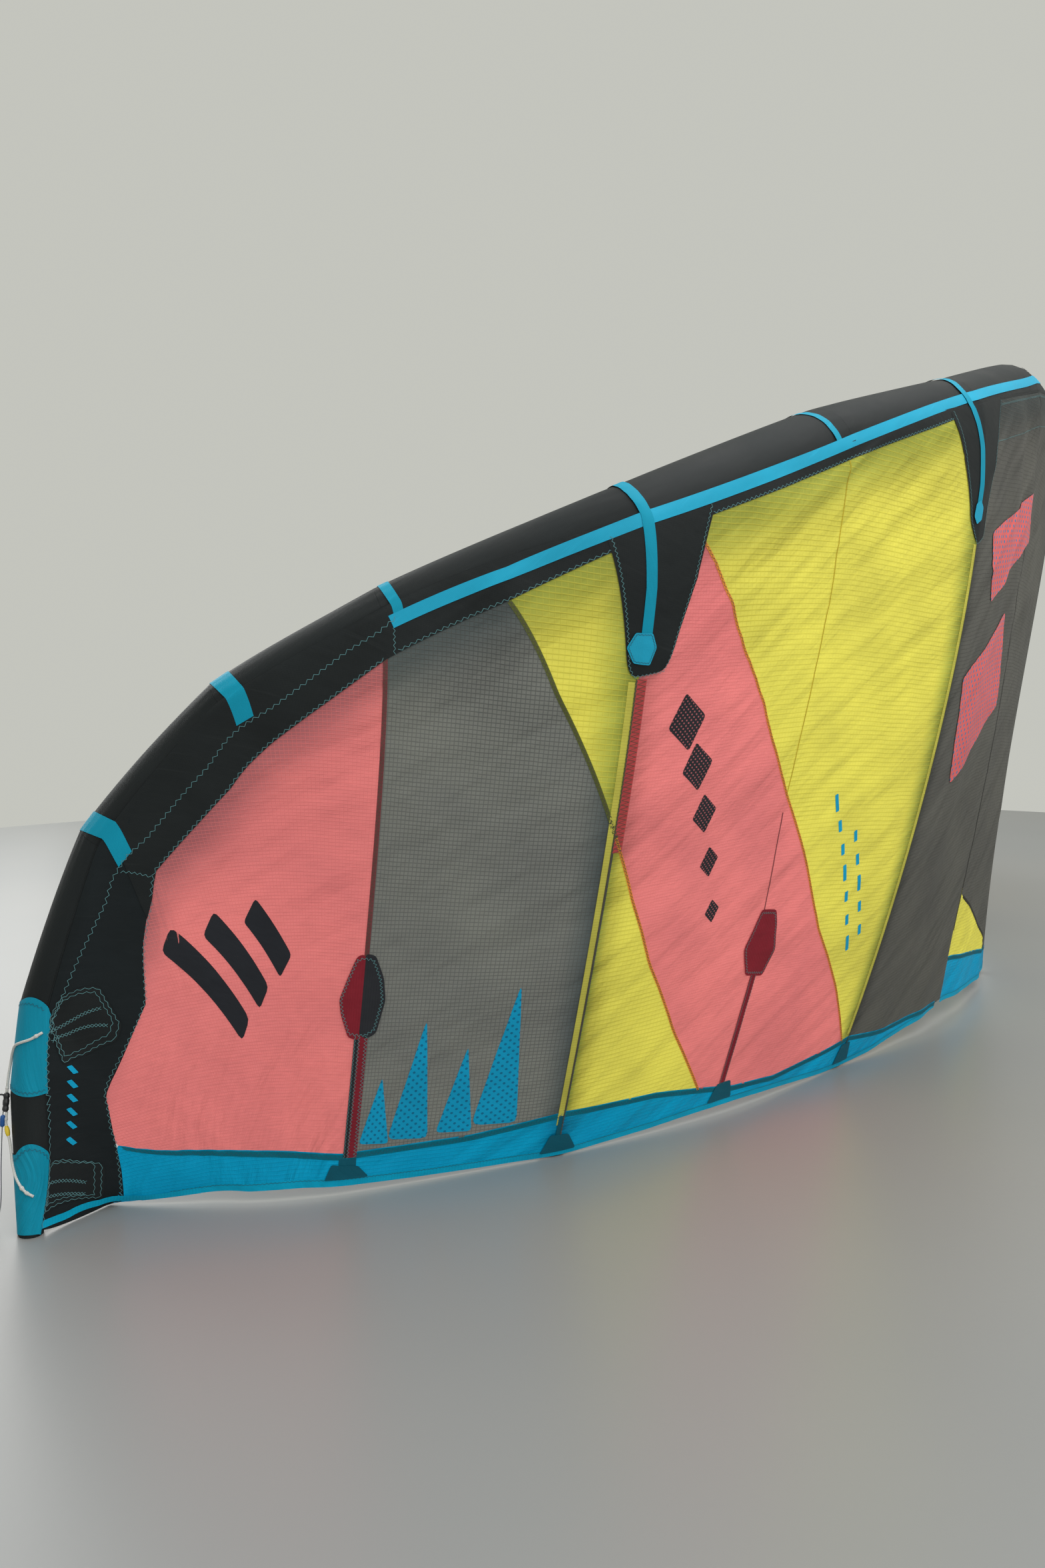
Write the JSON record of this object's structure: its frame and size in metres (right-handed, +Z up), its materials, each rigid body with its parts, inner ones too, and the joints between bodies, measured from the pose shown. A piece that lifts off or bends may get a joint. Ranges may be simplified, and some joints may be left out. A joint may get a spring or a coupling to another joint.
{
  "type": "inflatable kitesurfing kite",
  "caption": "Blown-up kitesurfing kite standing on its rear edge: fat curved front tube, inflated struts, coloured cloth panels and tip cords.",
  "frame": {"origin": "on the floor under the middle of the standing kite's box, measured without the tip cords", "axes": "+Z up, X across the kite from tip to tip, its convex outer side towards -Y"},
  "size_m": [5.4652, 2.1156, 1.9779],
  "materials": {
    "black_cloth": "matte",
    "coral_cloth": "satin",
    "yellow_cloth": "satin",
    "grey_cloth": "matte",
    "dark_grey_cloth": "matte",
    "blue_cloth": "satin",
    "white_cord": "matte",
    "thin_line": "matte",
    "connector": "matte"
  },
  "bodies": {
    "root": {"tube_middle": "black_cloth", "tube_1_left": "black_cloth", "tube_1_right": "black_cloth", "tube_2_left": "black_cloth", "tube_2_right": "black_cloth", "tube_3_left": "black_cloth", "tube_3_right": "black_cloth", "tube_4_left": "black_cloth", "tube_4_right": "black_cloth", "tube_5_left": "black_cloth", "tube_5_right": "black_cloth", "tube_6_left": "black_cloth", "tube_6_right": "black_cloth", "tube_7_left": "black_cloth", "tube_7_right": "black_cloth", "strut_4_left": "black_cloth", "strut_2_left": "black_cloth", "strut_middle": "black_cloth", "strut_2_right": "black_cloth", "strut_4_right": "black_cloth", "panel_tip_black_left": "black_cloth", "panel_tip_black_right": "black_cloth", "panel_tip_coral_left": "coral_cloth", "panel_tip_coral_right": "coral_cloth", "panel_grey_left": "grey_cloth", "panel_grey_right": "grey_cloth", "panel_yellow_upper_left": "yellow_cloth", "panel_yellow_upper_right": "yellow_cloth", "panel_yellow_wedge_left": "yellow_cloth", "panel_yellow_wedge_right": "yellow_cloth", "panel_coral_wave_left": "coral_cloth", "panel_coral_wave_right": "coral_cloth", "panel_yellow_main_left": "yellow_cloth", "panel_yellow_main_right": "yellow_cloth", "panel_dark_outer_left": "dark_grey_cloth", "panel_dark_outer_right": "dark_grey_cloth", "panel_dark_inner_left": "dark_grey_cloth", "panel_dark_inner_right": "dark_grey_cloth", "panel_yellow_foot_left": "yellow_cloth", "panel_yellow_foot_right": "yellow_cloth", "band_tip_left": "blue_cloth", "band_tip_right": "blue_cloth", "band_bays_left": "blue_cloth", "band_bays_right": "blue_cloth", "band_middle_left": "blue_cloth", "band_middle_right": "blue_cloth", "patch_strut_1_left": "black_cloth", "patch_strut_1_right": "black_cloth", "patch_strut_2_left": "black_cloth", "patch_strut_2_right": "black_cloth", "patch_middle": "black_cloth", "cord_upper_left": "white_cord", "cord_upper_right": "white_cord", "cord_lower_left": "white_cord", "cord_lower_right": "white_cord", "thin_line_left": "thin_line", "thin_line_right": "thin_line", "connector_left": "connector", "connector_right": "connector"}
  },
  "joints": []
}
